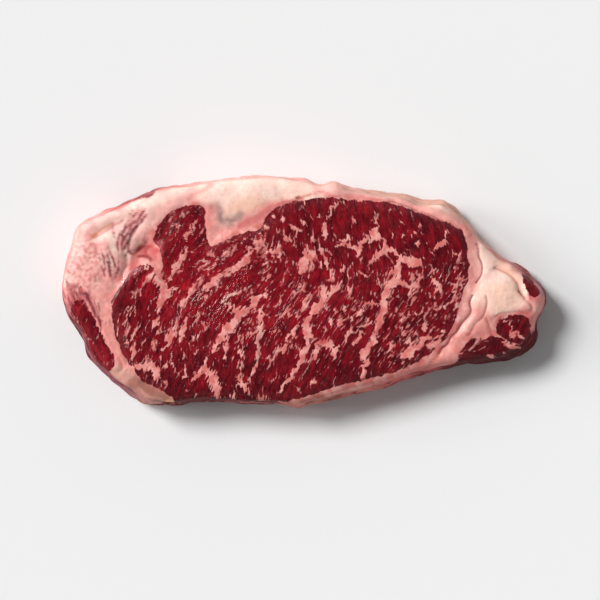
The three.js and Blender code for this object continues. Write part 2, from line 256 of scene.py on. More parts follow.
# Marbling large enough to be placed: width in millimetres and route in pixels.
MARBLING = "; ".join([
    # The left lobe and the junction beside it.
    """
    5 158,262 158,272 160,282 163,293; 5.2 159,280 166,290 161,302 158,311; 3 166,289 172,292 178,288;
    2.6 148,262 147,270; 1.4 152,274 148,284; 3 188,247 181,260 173,272 170,281; 2.8 178,225 180,231;
    3.6 189,229 187,240; 1.1 165,223 161,231 157,240; 1.2 174,214 168,224; 1.6 200,218 195,226 189,236;
    1.8 206,226 201,234; 1.4 186,210 180,218; 1.4 204,243 195,250 186,254;
    4 250,250 244,262 232,271 219,275; 4.4 219,275 212,283 203,290; 2 259,243 250,252;
    1.5 245,238 231,251 215,260; 1.3 234,252 223,260; 1.2 240,236 231,242; 1.4 226,262 212,268 200,271;
    1.2 205,258 193,266; 3.4 196,283 190,295 183,302; 1.4 203,292 197,303; 1.6 184,268 176,274
    """,
    # The lower left.
    """
    3.2 187,318 183,331 179,342; 3.4 158,318 154,328; 2.8 174,327 169,342 163,351;
    2.4 139,326 135,333 131,340 124,342; 2.4 134,342 134,352 132,362; 2.4 153,342 155,349;
    3.2 126,308 130,311 135,310; 1.8 142,291 141,295; 1.7 136,295 134,298; 1.6 199,313 193,327;
    1.5 162,323 157,336; 1.3 179,328 174,337; 1.8 198,350 195,355; 1.5 200,333 197,340;
    2.4 187,369 184,379; 3.2 191,380 200,373 206,370; 5.8 203,367 212,376 216,388 218,400;
    3.2 240,374 243,384 250,393; 2.4 224,400 232,397 240,395; 2.6 256,396 264,399 270,404;
    2 258,354 254,372 248,384; 2 205,368 208,356; 4.6 135,366 144,366 150,362; 1.3 151,350 149,360;
    4.6 147,364 154,368 157,373 156,380; 1.8 161,370 169,364; 1.3 172,355 173,365 176,372;
    1.2 160,356 161,366; 2 141,343 147,340
    """,
    # The middle.
    """
    3.2 249,293 255,300 263,295 270,297; 3.6 255,300 252,307 246,310; 5.4 249,309 240,312 234,308;
    5.6 241,312 235,322 227,330 221,338; 3.2 222,336 217,345 213,352; 2.4 253,308 259,311;
    1.5 245,317 246,327; 2.6 230,328 227,343 225,353 227,362; 2.4 223,303 231,295 242,289;
    2.2 264,307 261,316 262,322; 3 262,321 259,332 259,341 257,346; 2.4 258,345 259,352 256,360;
    2.2 238,333 246,336 257,331; 1.5 238,334 236,344; 3 240,350 244,357; 1.1 264,232 265,255 262,278;
    3 263,251 272,252 279,250 283,260; 2 273,255 274,262; 2 266,279 273,276; 1.4 282,295 279,304 275,309;
    1.5 290,308 283,318; 1.3 284,275 283,284; 1.6 236,378 238,386
    """,
    # The upper middle.
    """
    3 291,225 296,229 302,231; 2.2 302,221 305,226; 1.8 297,232 295,243 291,246;
    2.2 283,231 287,240 294,239; 4.2 283,218 284,222; 2.6 272,217 276,216; 3.2 264,227 268,228;
    2.4 260,234 263,243 264,251; 2.4 271,252 278,249 279,243; 2.2 278,250 280,256 284,260;
    2.8 311,238 313,242; 0.9 311,213 313,224; 1.8 320,215 321,219; 1.8 334,204 330,213 326,221;
    3.6 325,223 325,233 327,240; 1.4 337,203 334,210; 4.2 305,250 307,257 312,258;
    4.2 306,256 305,266 300,273; 3.4 305,257 299,265; 2.4 320,245 323,254 327,262 326,270;
    2.2 321,261 321,269; 1.3 328,250 331,256; 2 340,241 348,240 345,234;
    2 336,247 347,244 351,248 360,247; 2.2 344,266 340,273; 1.7 354,214 355,223; 1.4 290,283 289,290;
    1.6 301,282 297,290
    """,
    # The upper right.
    """
    1.6 379,213 376,220 377,228; 3.2 377,227 373,234 371,243; 5 374,236 381,238;
    2.6 369,239 362,243 363,248; 3.8 384,239 386,248 395,251; 3 385,248 379,255 370,264;
    2.8 350,248 357,248 359,257; 1.9 391,233 391,238; 2 402,235 404,236; 1.5 390,207 391,211;
    1.1 399,220 405,224; 1.3 417,220 422,227 422,235; 1.3 415,229 417,235; 1 400,210 402,217;
    3 446,240 440,245 435,249; 1.5 445,232 446,238; 1.7 418,241 419,247; 6.4 403,259 411,262 420,264;
    3 420,263 422,259; 2 395,251 399,257 404,259; 3.2 430,278 436,283 440,286
    """,
    # The seam that runs down through the right half.
    """
    3.6 399,256 398,266 399,278; 5 399,277 393,284 388,287; 3 390,284 402,283 411,289;
    4.4 388,285 386,295 383,305; 5.2 386,297 383,306 385,313; 4.4 384,312 380,321 377,331;
    3.8 377,330 373,342 366,349; 4.6 368,347 364,354 367,363; 3.2 366,362 364,370 362,379;
    1.4 410,290 415,282 419,274; 2.2 363,310 366,305 372,303 379,305; 2.4 364,308 360,312 358,318;
    2 375,322 366,325 357,328; 2.8 362,332 357,340 352,344; 2.8 349,330 347,341; 2.2 354,317 351,321;
    2.2 369,318 366,322; 2.3 345,305 344,312; 2.8 330,318 332,325; 1.5 336,309 337,314;
    1.8 375,282 381,284; 1.7 359,270 364,276 369,276
    """,
    # The seam that runs down through the middle.
    """
    3.2 343,281 337,289 330,295; 3.6 325,287 324,297; 4.8 328,294 319,305 311,315;
    5.4 311,314 307,324 308,335 308,343; 4.2 308,342 304,353 299,364; 3 300,362 292,375 284,387;
    2 286,384 279,393; 2.6 300,324 292,333 285,338; 1.7 301,315 296,318; 2.4 291,341 285,348 281,354;
    4.2 318,343 327,344 334,349; 3.4 333,349 335,354 333,359; 2.2 335,350 341,346; 1.7 330,344 331,336;
    3 318,345 316,354 312,360
    """,
    # The right end.
    """
    1.7 413,312 420,316; 1.9 429,294 431,297; 2.1 439,289 440,292; 2 436,303 435,307; 2.2 443,305 445,308;
    1.7 455,291 455,296; 2.2 458,303 454,312; 1.7 447,316 444,323; 2.8 426,323 424,331;
    2.3 405,331 403,336; 1.7 402,316 402,323; 2.6 444,330 444,334; 3.6 430,337 422,340 420,348;
    5 418,346 411,352 403,355; 2.8 404,354 402,361; 2.2 410,337 405,344; 2.4 428,347 438,344;
    2.7 394,342 391,348; 1.5 463,276 457,283; 1.3 464,284 458,292
    """,
    # The tail's round muscle.
    """
    1.3 511,320 511,330 511,339; 1.2 503,323 510,320; 2.2 512,337 517,330; 2.2 518,331 520,336 525,339;
    2.4 502,341 510,346 521,348; 2.2 486,356 493,357 497,361; 1 505,352 500,360
    """,
])

# Colours laid on: name, strength, width and softness in millimetres, and route in pixels.
# The blush band from 467,286 to 458,320 is painted light: paler colour laid over the shade of the tail's
# fold.
# The grey band from 219,209 to 239,216 is painted shadow: the shade in the hollow under the cap's pad.
# The thin salmon line from 95,239 to 124,220 is painted shadow: the shade beneath the ledge's raised strip.
# The thin sand line from 138,389 to 163,400 is a painted highlight on the tan corner.
TINTS = """
cream 0.9 15 5 205,186 240,190 280,186 312,188;
blush 0.9 8 4 322,188 370,190 400,196 440,208;
tan 0.35 2 2 345,187 390,191 422,200;
peach 0.45 2.6 1.6 322,185 331,182 340,186;
blush 0.85 9 5 152,214 165,204 188,192;
cream 0.6 5 3 146,208 160,200 184,190;
blush 0.75 8 4 84,230 100,221 122,211;
cream 0.45 4 2 100,224 120,214 160,200;
blush 0.9 10 6 84,250 76,272 84,284;
blush 0.6 7 5 100,246 96,268;
peach 0.4 5 3 258,200 235,206 228,212;
peach 0.3 3 2.5 310,195 270,204 240,212;
pink 0.7 2.4 2 190,200 203,190 210,184;
pink 0.55 9 4 212,214 216,232 212,242;
pink 0.7 6 3 236,224 252,217 270,209 290,204;
rose 0.75 3.2 1.6 240,226 256,218 274,208 300,201;
rose 0.6 1 0.8 285,203 298,200 312,194 330,193;
blood 0.9 1.2 0.6 297,197 299,197;
rose 0.55 2.2 1.4 325,196 350,196 375,200 392,201;
blood 0.8 0.7 0.7 388,200 402,204 420,212 445,222 463,232;
sand 0.8 3.4 2.6 424,207 440,213 456,222;
pink 0.55 2.6 2 390,196 410,204 430,212 455,222;
cream 0.75 4 2 424,201 436,203 448,207;
grey 0.75 3.8 2.6 219,209 222,218 229,222 239,216;
grey 0.8 3.6 2 123,256 119,270;
grey 0.8 2.6 1.4 101,280 106,284;
grey 0.4 3 3 152,216 150,226;
apricot 1 2.2 1 93,237 96,234;
apricot 0.75 1.2 1.2 97,232 105,227 113,224;
salmon 0.7 0.8 0.8 95,239 104,232 114,226 124,220;
salmon 0.45 3.4 1.8 78,236 84,234 90,239;
rose 0.4 0.7 0.8 75,242 83,241 92,241;
rust 0.45 0.8 0.8 78,232 80,226 92,220;
flesh 0.95 5.5 3 143,251 151,250 158,256;
salmon 0.7 4 3 161,258 161,270;
flesh 0.45 4 3 147,240 154,243;
flesh 0.6 4 2.4 136,257 132,266;
blood 0.85 1.4 1 139,257 145,256 150,258;
blood 0.6 2 1.6 140,249 147,247;
blush 0.8 3 1.6 145,263 149,270 151,276;
pink 0.55 3.4 3 122,262 112,276 105,286;
pink 0.5 16 7 98,282 104,310 112,340 120,360;
salmon 0.6 7 5 106,318 114,342 121,356;
rose 0.45 5.5 3 139,213 130,229 121,245;
rose 0.6 0.7 0.7 118,359 123,366 117,373 106,376;
purple 0.7 3 2 68,306 76,330 88,352 98,370;
rose 0.5 7 4 68,292 78,304;
sand 0.9 7 4 112,374 122,374 130,382;
tan 0.35 7 4 114,375 122,374 130,382;
tan 0.95 6.5 3 134,383 148,390 164,398;
sand 0.7 0.9 1.4 138,389 150,395 163,400;
purple 0.75 3.6 1.8 112,381 127,390 144,402;
peach 0.95 3 0.8 168,402 175,401;
tan 0.55 4 2 242,398 256,400;
purple 0.5 3 2 266,402 278,403 290,404;
tan 0.45 4 3 290,402 306,402 322,398;
wine 0.6 0.7 0.9 127,239 129,246 131,251;
blood 0.6 0.9 0.8 96,277 97,281;
wine 0.45 1 1.4 108,246 109,250 111,255;
wine 0.4 1.2 1.4 109,253 102,260;
wine 0.5 0.9 1.1 97,253 95,257;
wine 0.45 1 1.2 79,249 82,246 86,251;
rose 0.7 1 1.2 89,249 91,245 96,246 96,251 91,253;
wine 0.75 0.7 0.7 80,290 90,303 97,314 103,320;
wine 0.6 0.6 0.7 84,291 93,302 101,315;
rose 0.6 1 1 72,262 77,263 80,269;
rose 0.55 0.9 1 90,272 92,279;
rose 0.6 0.8 1.2 73,260 77,262 80,268;
wine 0.7 1.4 1.2 66,269 70,273;
rose 0.5 0.8 1 98,253 95,258;
wine 0.95 2.6 0.9 143,194 148,195 152,191;
wine 0.75 2.4 1.2 127,202 134,199 141,196;
rose 0.8 2.4 1.4 110,210 118,206 127,202;
wine 0.6 0.5 0.6 138,226 132,238 129,249;
wine 0.6 0.5 0.6 145,233 141,242 138,249;
blood 0.7 1.2 0.9 130,251 134,254 139,250;
blush 0.9 2.4 0.9 141,230 136,239 134,247;
cream 0.95 17 4 491,297 505,296 511,290;
cream 0.8 10 5 478,254 492,268 506,282;
peach 0.4 4 2 496,262 508,270 517,279;
peach 0.3 13 5 493,300 508,296;
pink 0.75 6 3 469,245 473,264 471,284;
salmon 0.75 8 5 479,312 482,322 480,336;
blush 0.6 3 2.4 467,286 465,302 458,320;
salmon 0.6 6 4 466,340 448,356 428,368 404,378;
rose 0.45 4 3 440,362 416,374 390,382;
blood 0.8 0.7 0.5 474,245 478,252 481,263 481,274 477,283;
blood 0.9 0.8 0.5 473,296 471,306 468,314 463,323 455,333 448,342 440,354;
rust 0.8 0.8 0.6 440,354 432,361 424,368 408,375;
blood 0.65 0.7 0.5 485,295 486,309 483,317 475,326 467,336;
rust 0.7 0.6 0.5 487,318 490,330 492,335;
rust 0.55 0.8 0.7 495,268 509,274 517,283 521,292 526,298;
blood 0.6 0.7 0.5 520,291 527,300 530,306 531,311;
rust 0.5 0.7 0.6 498,255 504,262;
lilac 0.9 3 1.4 522,269 533,276 541,286 544,296;
purple 0.7 3 2 531,336 540,330 541,338;
pink 0.7 4 3 543,300 541,312 536,326;
rose 0.6 1.4 1 497,317 508,313 522,313;
flesh 0.85 3.4 1.8 322,342 330,337 334,330;
flesh 0.6 3.4 2.4 376,333 380,326;
grey 0.45 2.6 1.6 260,330 259,345 257,360;
grey 0.4 2.4 2 408,284 414,280;
cream 0.55 2.2 1.6 222,303 232,295 241,289
"""

# Red mottling of the fat at the left end: centre pixel, reach in millimetres and strength.
MOTTLED = [
    (70, 262, 5, 0.55), (68, 288, 6, 0.7), (84, 250, 4, 0.6), (90, 268, 6, 0.6), (76, 304, 5, 0.8),
    (126, 204, 5, 0.35), (126, 379, 4, 0.4), (150, 392, 5, 0.5), (90, 292, 6, 0.45), (108, 262, 5, 0.45),
]

# Grooves: depth and half-width in millimetres and route in pixels.
GROOVES = """
0.35 0.6 474,245 478,252 481,263 481,274 477,283;
0.6 0.55 473,296 471,306 468,314 463,323 455,333 448,342 440,354;
0.5 0.6 440,354 432,361 424,368 408,375 390,380; 0.4 0.55 485,295 486,309 483,317 475,326 467,336;
0.4 0.5 487,318 490,330 492,335; 0.8 0.9 495,268 509,274 517,283 521,292 526,298;
0.8 0.6 520,291 527,300 530,306 531,311; 0.7 0.7 388,200 402,204 420,212 445,222 463,232;
0.25 0.8 93,240 101,235 110,230 119,225; 0.5 0.7 118,359 123,366 117,373 106,376;
0.8 1.1 131,252 137,253 142,248 146,242; 0.5 0.6 138,226 132,238 129,249;
0.6 0.9 126,250 127,262 123,274; 0.5 0.5 264,232 265,255 262,278; 0.5 0.7 117,334 122,348 128,362;
0.4 0.5 285,203 298,200 312,195; 0.6 0.8 222,214 225,221 233,222; 0.3 0.6 190,200 203,190 210,184;
0.5 0.6 81,304 92,316 104,340 114,358; 0.5 0.6 496,318 504,313 520,312 530,318
"""

# Raised welts and lips: height and half-width in millimetres and route in pixels.
WELTS = """
0.4 1.5 141,231 137,239 134,246; 0.6 2 148,228 144,239 142,249; 0.5 1.8 80,226 92,222 104,219 120,212;
0.6 1.4 508,263 517,272 524,283 528,292 530,302; 0.2 1.2 470,292 467,304 463,314 455,326;
0.2 1.3 478,300 477,312 470,324 458,338; 0.5 2 286,178 300,177 310,180;
0.7 1.8 326,180 333,178 340,181; 0.5 1.2 401,201 420,208 440,215 458,225; 0.3 0.9 166,400 174,400;
0.9 3.6 157,230 160,242 164,256; 0.4 2.6 174,210 163,221 157,233;
0.25 2.6 118,296 124,285 132,276 141,268;
0.7 3 478,234 484,262 482,280 476,300 470,323 453,346 435,363 413,376; 0.4 1.2 535,300 533,312 530,320
"""

# Wet, torn ridges along the fibres: strength, below 0 where lean is dull, width in millimetres and route.
FLAKES = """
-0.5 6 182,208 168,220 160,238 164,256; 1 7 262,248 250,266 238,284 226,302 214,318;
0.9 6 318,256 305,275 296,295 286,315 276,335; 2.4 2 143,268 136,277; 2 2 124,277 122,283;
0.6 6 203,226 190,250 172,262; 0.7 4 398,255 388,270 380,275; 0.6 7 200,295 190,320 175,350;
0.5 7 345,285 370,278; 0.7 3 331,207 327,220; 0.6 4 358,312 368,304 378,305;
0.5 7 440,275 450,265 455,250; 0.5 8 185,385 200,380; 0.5 6 80,305 95,330 108,356;
0.5 5 430,330 440,310
"""

# What the sides look like: pixel on the edge, colour, and how much lean shows there, from 0 to 1.
SIDES = [
    (60, 280, "pink", 0.24), (66, 310, "purple", 0.5), (82, 345, "purple", 0.58),
    (104, 372, "purple", 0.35), (130, 395, "purple", 0.22), (158, 403, "sand", 0.3),
    (180, 403, "rose", 0.95), (208, 402, "rose", 0.9), (235, 401, "salmon", 0.35),
    (262, 402, "salmon", 0.7), (300, 408, "salmon", 0.22), (330, 400, "tan", 0.42),
    (366, 391, "salmon", 0.36), (400, 384, "rose", 0.4), (450, 368, "rose", 0.4), (470, 368, "maroon", 0.9),
    (500, 366, "maroon", 0.95), (528, 356, "maroon", 0.95), (541, 338, "maroon", 0.9),
    (545, 315, "pink", 0.3), (545, 296, "purple", 0.5), (530, 274, "purple", 0.42),
    (512, 260, "pink", 0.15), (480, 234, "sand", 0.06), (445, 200, "sand", 0.04), (380, 184, "sand", 0.05),
    (330, 178, "blush", 0.06), (270, 176, "blush", 0.05), (200, 180, "blush", 0.08),
    (165, 188, "pink", 0.15), (147, 193, "wine", 0.62), (122, 205, "rose", 0.5), (100, 214, "pink", 0.2),
    (80, 224, "blush", 0.08), (66, 250, "pink", 0.22),
]

COLOURS = {
    "cream": "#fad5c6", "peach": "#f0b08e", "pink": "#e99c94", "salmon": "#dd8d84", "rose": "#cc6a68",
    "sand": "#dba898", "flesh": "#b83f40", "blood": "#8a1b20", "rust": "#bd5b48", "lilac": "#b58a90",
    "tan": "#9c6a5b", "grey": "#a7877f", "purple": "#8d525c", "marbling": "#d0706a",
    "pale marbling": "#e8a098", "blush": "#f0b4ab", "maroon": "#4f0a13", "red": "#7a0f1b",
    "bright red": "#9a1420", "wine": "#7c2a38", "apricot": "#e0896a",
}

# Lamps: strength, height above the floor and way round from +X in degrees, and how wide they look.
LAMPS = [(2.95, 45.0, 145.0, 20.0), (1.3, 26.0, 168.0, 26.0)]
SKY_OVERHEAD = 0.04
SKY_LOW = 0.66
WHITE = (1.0, 1.0, 1.0, 1.0)


def linear(name):
    """A named colour in the renderer's linear values."""
    code = COLOURS[name].lstrip("#")
    parts = [int(code[i:i + 2], 16) / 255 for i in (0, 2, 4)]
    return np.array([c / 12.92 if c <= 0.04045 else ((c + 0.055) / 1.055) ** 2.4 for c in parts])


def between(first, second, share):
    """A map of colours from the first named colour to the second."""
    return linear(first) + (linear(second) - linear(first)) * share[..., None]


def tinted(colour, name, weight):
    """A map of colours with a named colour laid over it."""
    return colour + (linear(name) - colour) * weight[..., None]


def smooth(t):
    """A soft step from 0 to 1 as t goes from 0 to 1."""
    t = np.clip(t, 0.0, 1.0)
    return t * t * (3.0 - 2.0 * t)


def hump(offset, half):
    """A smooth hump, 1 high at its middle."""
    return np.exp(-((offset / half) ** 2))


def frequencies(shape):
    """Waves per millimetre of a map's spectrum, down and across."""
    return np.fft.fftfreq(shape[0], PITCH)[:, None], np.fft.rfftfreq(shape[1], PITCH)[None, :]


def noise(seed, size, shape=PLAN):
    """Random swells about `size` millimetres across, with mean 0 and spread 1."""
    white = np.random.default_rng(seed).standard_normal(shape)
    pace = np.hypot(*frequencies(shape)) * 2.0 * size
    made = np.fft.irfft2(np.fft.rfft2(white) * pace**2 * np.exp(-pace**2), s=shape)
    return made / made.std()


def soften(field, reach):
    """A map blurred over `reach` millimetres."""
    keep = np.exp(-2.0 * (math.pi * np.hypot(*frequencies(field.shape)) * reach) ** 2)
    return np.fft.irfft2(np.fft.rfft2(field) * keep, s=field.shape)


def pick(field, row, column):
    """The values of an array between its cells."""
    i = row.astype(int)
    j = column.astype(int)
    v = row - i
    u = column - j
    if field.ndim == 3:
        u = u[..., None]
        v = v[..., None]
    return (
        field[i, j] * (1 - u) * (1 - v) + field[i, j + 1] * u * (1 - v)
        + field[i + 1, j] * (1 - u) * v + field[i + 1, j + 1] * u * v
    )


def cells(x, y):
    """The row and the column of the plan's maps in which points lie."""
    return (y - GY[0, 0]) / PITCH, (x - GX[0, 0]) / PITCH


def sample(field, x, y):
    """The values of a map over the plan at points in millimetres."""
    row, column = cells(x, y)
    return pick(field, np.clip(row, 0, LAST_ROW), np.clip(column, 0, LAST_COLUMN))


def nearness(px, py, reach, x=GX, y=GY):
    """How near points are to the place of a pixel, from 0 to 1."""
    cx, cy = at(px, py)
    return np.exp(-((x - cx) ** 2 + (y - cy) ** 2) / (2.0 * reach**2))


def spread(marks, reach, x=GX, y=GY):
    """Blends the values of marks (pixel x, pixel y, value) smoothly over points."""
    total = 0.0
    weight = 0.0
    for px, py, value in marks:
        near = nearness(px, py, reach, x, y) + FAR_WEIGHT
        if np.ndim(value):
            near = near[..., None]
        total = total + near * value
        weight = weight + near
    return total / weight


def entries(table):
    """The entries of a table written as text: names and numbers, and the route that follows them."""
    for entry in table.split(";"):
        words = entry.split()
        points = [word for word in words if "," in word]
        values = words[:-len(points)]
        yield (*[word if word.isalpha() else float(word) for word in values], " ".join(points))


def rounded(route, closed=False):
    """A smooth line, in millimetres, through the points of a route."""
    points = [np.array(at(*map(float, pair.split(",")))) for pair in route.split()]
    if len(points) < 3:
        return np.array(points)
    ends = [points[-1]] + points + points[:2] if closed else [points[0]] + points + [points[-1]]
    line = []
    for a, b, c, d in zip(ends, ends[1:], ends[2:], ends[3:]):
        for t in np.arange(LINE_STEPS) / LINE_STEPS:
            bend = (2 * a - 5 * b + 4 * c - d) * t**2 + (3 * b - 3 * c + d - a) * t**3
            line.append(0.5 * (2 * b + (c - a) * t + bend))
    line.append(ends[-2])
    return np.array(line)


def window(line, reach):
    """The part of the plan's maps within `reach` of a line."""
    low = cells(*(line.min(axis=0) - reach))
    high = cells(*(line.max(axis=0) + reach))
    i0, i1 = np.clip((low[0], high[0]), 0, PLAN[0]).astype(int)
    j0, j1 = np.clip((low[1], high[1]), 0, PLAN[1]).astype(int)
    return slice(i0, i1 + 1), slice(j0, j1 + 1)


def distance(line, x, y):
    """How far points are from a line, and how far along it their nearest place lies, from 0 to 1."""
    best = np.full(x.shape, FAR)
    nearest = np.zeros(x.shape)
    passed = 0.0
    for a, b in zip(line, line[1:]):
        step = b - a
        length = math.hypot(*step)
        along = ((x - a[0]) * step[0] + (y - a[1]) * step[1]) / max(length**2, TINY)
        t = np.clip(along, 0.0, 1.0)
        d = np.hypot(x - a[0] - t * step[0], y - a[1] - t * step[1])
        closer = d < best
        best = np.where(closer, d, best)
        nearest = np.where(closer, passed + t * length, nearest)
        passed += length
    return best, nearest / max(passed, TINY)


def depth_inside(outline, warp):
    """How deep each point of the plan lies inside a closed outline, below 0 outside it."""
    line = rounded(outline, closed=True)
    part = window(line, DEPTH_LIMIT)
    field = np.full(PLAN, -DEPTH_LIMIT)
    x = (GX + warp[0])[part]
    y = (GY + warp[1])[part]
    d, _ = distance(line, x, y)
    inside = np.zeros(x.shape, bool)
    for a, b in zip(line, np.roll(line, -1, axis=0)):
        if a[1] != b[1]:
            crosses = (a[1] > y) != (b[1] > y)
            inside ^= crosses & (x < a[0] + (y - a[1]) / (b[1] - a[1]) * (b[0] - a[0]))
    field[part] = np.where(inside, d, -d)
    return np.maximum(field, -DEPTH_LIMIT)


def lay(field, route, reach, shape, warp=None, join=np.maximum):
    """Joins shape(distance, share) of a route to a map, out to `reach` millimetres from it."""
    line = rounded(route)
    part = window(line, reach)
    x = GX[part]
    y = GY[part]
    if warp is not None:
        x = x + warp[0][part]
        y = y + warp[1][part]
    field[part] = join(field[part], shape(*distance(line, x, y)))


def streak(half):
    """A shape to lay: fat that is widest midway along its route and thins out at both ends."""
    return lambda d, share: half * (0.40 + 0.42 * np.sin(math.pi * share)) - d


def band(strength, half, softness):
    """A shape to lay: a band with soft edges."""
    return lambda d, share: strength * smooth(0.5 + (half - d) / softness)


def ridge(height, half):
    """A shape to lay: a ridge, or a groove where it is subtracted."""
    return lambda d, share: height * hump(d, half)


def fibre_run():
    """The direction of the fibres over the plan, as angles from +X."""
    turns = []
    for px, py, angle in FIBRES:
        doubled = 2.0 * math.radians(angle)
        turns.append((px, py, np.array([math.cos(doubled), math.sin(doubled)])))
    blended = spread(turns, FIBRE_REACH)
    angle = np.arctan2(blended[..., 1], blended[..., 0]) / 2.0
    return np.where(angle < LOWEST_ANGLE, angle + math.pi, angle)


ANGLE = fibre_run()


def comb(field, reach):
    """A map drawn out along the fibres over `reach` millimetres, with spread 1."""
    steps = max(1, int(reach / PITCH / COMB_STRIDE))
    rows, columns = np.indices(PLAN).astype(float)
    cosine = np.cos(ANGLE) * COMB_STRIDE
    sine = np.sin(ANGLE) * COMB_STRIDE
    total = field.copy()
    for way in (1.0, -1.0):
        row = rows.copy()
        column = columns.copy()
        for _ in range(steps):
            i = row.astype(int)
            j = column.astype(int)
            row = np.clip(row + way * sine[i, j], 0, LAST_ROW)
            column = np.clip(column + way * cosine[i, j], 0, LAST_COLUMN)
            total += pick(field, row, column)
    return total / total.std()


def fibre_rulers():
    """Two smooth rulers over the plan, in millimetres: one along the fibres and one across them."""
    fy, fx = (2j * math.pi * f for f in frequencies(PLAN))
    square = fx * fx + fy * fy
    square[0, 0] = 1.0
    rulers = []
    for turn in (0.0, math.pi / 2):
        dx = np.cos(ANGLE + turn)
        dy = np.sin(ANGLE + turn)
        mean_x, mean_y = dx.mean(), dy.mean()
        spectrum = (fx * np.fft.rfft2(dx - mean_x) + fy * np.fft.rfft2(dy - mean_y)) / square
        rulers.append(np.fft.irfft2(spectrum, s=PLAN) + mean_x * GX + mean_y * GY)
    return rulers


def bundle_middles(rng, step):
    """The middles of the bundles of fibres, on a loose grid that reaches past the plan."""
    rows = int((GY[-1, 0] - GY[0, 0]) / step) + 2 * SPARE + 1
    columns = int((GX[0, -1] - GX[0, 0]) / step) + 2 * SPARE + 1
    x = GX[0, 0] + (np.arange(columns)[None, :] - SPARE + rng.random((rows, columns))) * step
    y = GY[0, 0] + (np.arange(rows)[:, None] - SPARE + rng.random((rows, columns))) * step
    return x, y


def bundles(seed, across, along):
    """Bundles of fibres: how far each point is from its bundle's border, and a random value for each."""
    rng = np.random.default_rng(seed)
    step = (across + along) / 2.0
    x, y = bundle_middles(rng, step)
    tone = rng.random(x.shape)
    turn = sample(ANGLE, x, y)
    cosine = np.cos(turn)
    sine = np.sin(turn)
    first = np.full(PLAN, FAR)
    second = np.full(PLAN, FAR)
    value = np.zeros(PLAN)
    home_i = ((GY - GY[0, 0]) / step).astype(int) + SPARE
    home_j = ((GX - GX[0, 0]) / step).astype(int) + SPARE
    for di, dj in itertools.product(range(-SPARE, SPARE + 1), repeat=2):
        i = np.clip(home_i + di, 0, x.shape[0] - 1)
        j = np.clip(home_j + dj, 0, x.shape[1] - 1)
        dx = GX - x[i, j]
        dy = GY - y[i, j]
        u = (dx * cosine[i, j] + dy * sine[i, j]) / along
        v = (dy * cosine[i, j] - dx * sine[i, j]) / across
        d = np.hypot(u, v)
        nearer = d < first
        second = np.where(nearer, first, np.minimum(second, d))
        value = np.where(nearer, tone[i, j], value)
        first = np.where(nearer, d, first)
    return (second - first) * across / 2.0, value


def warped(seed, strength):
    """A pair of maps that shift outlines unevenly."""
    return [
        strength * sum(share * noise(seed + step + k, size) for step, size, share in EDGE_SWELLS)
        for k in range(2)
    ]


def frayed(seed, across):
    """A pair of maps that shift outlines unevenly, mostly along the fibres."""
    slide = spread(FRAYS, FIBRE_REACH) * comb(noise(seed, 0.8), 3.0)
    swerve = across * (noise(seed + 1, 3.2) + 0.6 * noise(seed + 2, 1.3))
    return [
        slide * np.cos(ANGLE) - swerve * np.sin(ANGLE),
        slide * np.sin(ANGLE) + swerve * np.cos(ANGLE),
    ]


def fat_map(seed, lean_depth, density):
    """How deep points lie in fat, below 0 in the lean, and a random tone for each bundle of fibres."""
    # Fat between the bundles of fibres, in some places more than in others.
    border, tone = bundles(seed + 1, *BUNDLE)
    wide_border, _ = bundles(seed + 2, *WIDE_BUNDLE)
    between_bundles = 0.55 * density + 0.27 * comb(noise(seed + 3, 5.0), 4.0) - 0.44 - 0.9 * border
    seams = 0.50 * density + 0.30 * comb(noise(seed + 4, 7.0), 5.0) - 0.52 - 0.7 * wide_border
    # Flakes drawn out along the fibres.
    flakes = 0.40 * (comb(noise(seed + 5, 1.5), 2.4) - 2.65 + 1.5 * density)
    fat = np.maximum.reduce([between_bundles, seams, flakes])

    warp = frayed(seed + 40, STREAK_SWERVE)
    for width, route in entries(MARBLING):
        lay(fat, route, width / 2.0 + STREAK_REACH, streak(width / 2.0), warp)

    # Past the muscles' edge all is fat.
    fat = np.where(lean_depth > -EDGE_WIDTH, fat, -FAT_LIMIT)
    fat = np.maximum(fat, -1.15 * lean_depth)
    return np.clip(fat, -FAT_LIMIT, FAT_LIMIT), tone


def lean_colours(seed, bundle_tone):
    """The colour of the lean, from maroon through red to bright red, with painted light and shade in its
    tones.
    """
    tone = spread(LEAN_TONE_LIGHT_AND_SHADE, TONE_REACH) + 0.20 * (bundle_tone - 0.5)
    tone = tone + 0.10 * noise(seed + 7, 6.0) + 0.12 * comb(noise(seed + 8, 2.0), 3.0)
    tone = np.clip(tone, 0.0, 1.0)
    dark = between("maroon", "red", np.clip(2 * tone, 0, 1))
    return tinted(dark, "bright red", np.clip(2 * tone - 1, 0, 1))


def fat_colours(seed, lean_depth):
    """The colour of the fat: pink in and round the lean, paler further out."""
    inner = between("marbling", "pale marbling", smooth(
        0.45 + 0.28 * noise(seed + 9, 4.0) + 0.16 * noise(seed + 17, 1.6)
    ))
    cap = between("blush", "cream", smooth(0.5 + 0.25 * noise(seed + 11, 5.0)))
    outer = smooth((-lean_depth - 1.0) / CAP_FADE)[..., None]
    return inner + (cap - inner) * outer


def placed_tints(seed, colour, line_warp, patch):
    """The shown face's colour of fat, with its tints, streaky mixtures of lean and red mottling."""
    for name, strength, width, softness, route in entries(TINTS):
        weight = np.zeros(PLAN)
        half = width / 2.0
        lay(weight, route, half + softness, band(strength, half, softness), line_warp)
        colour = tinted(colour, name, weight)
    torn = comb(noise(seed + 6, 1.3), 2.5)
    weight = 0.95 * smooth(0.30 + 0.28 * np.minimum(patch, 1.2) + 0.50 * torn)
    colour = tinted(colour, "wine", weight)
    curled = smooth(0.25 + 0.4 * noise(seed + 16, 1.5))
    for px, py, reach, strength in MOTTLED:
        colour = tinted(colour, "rose", strength * nearness(px, py, reach) * curled)
    return colour


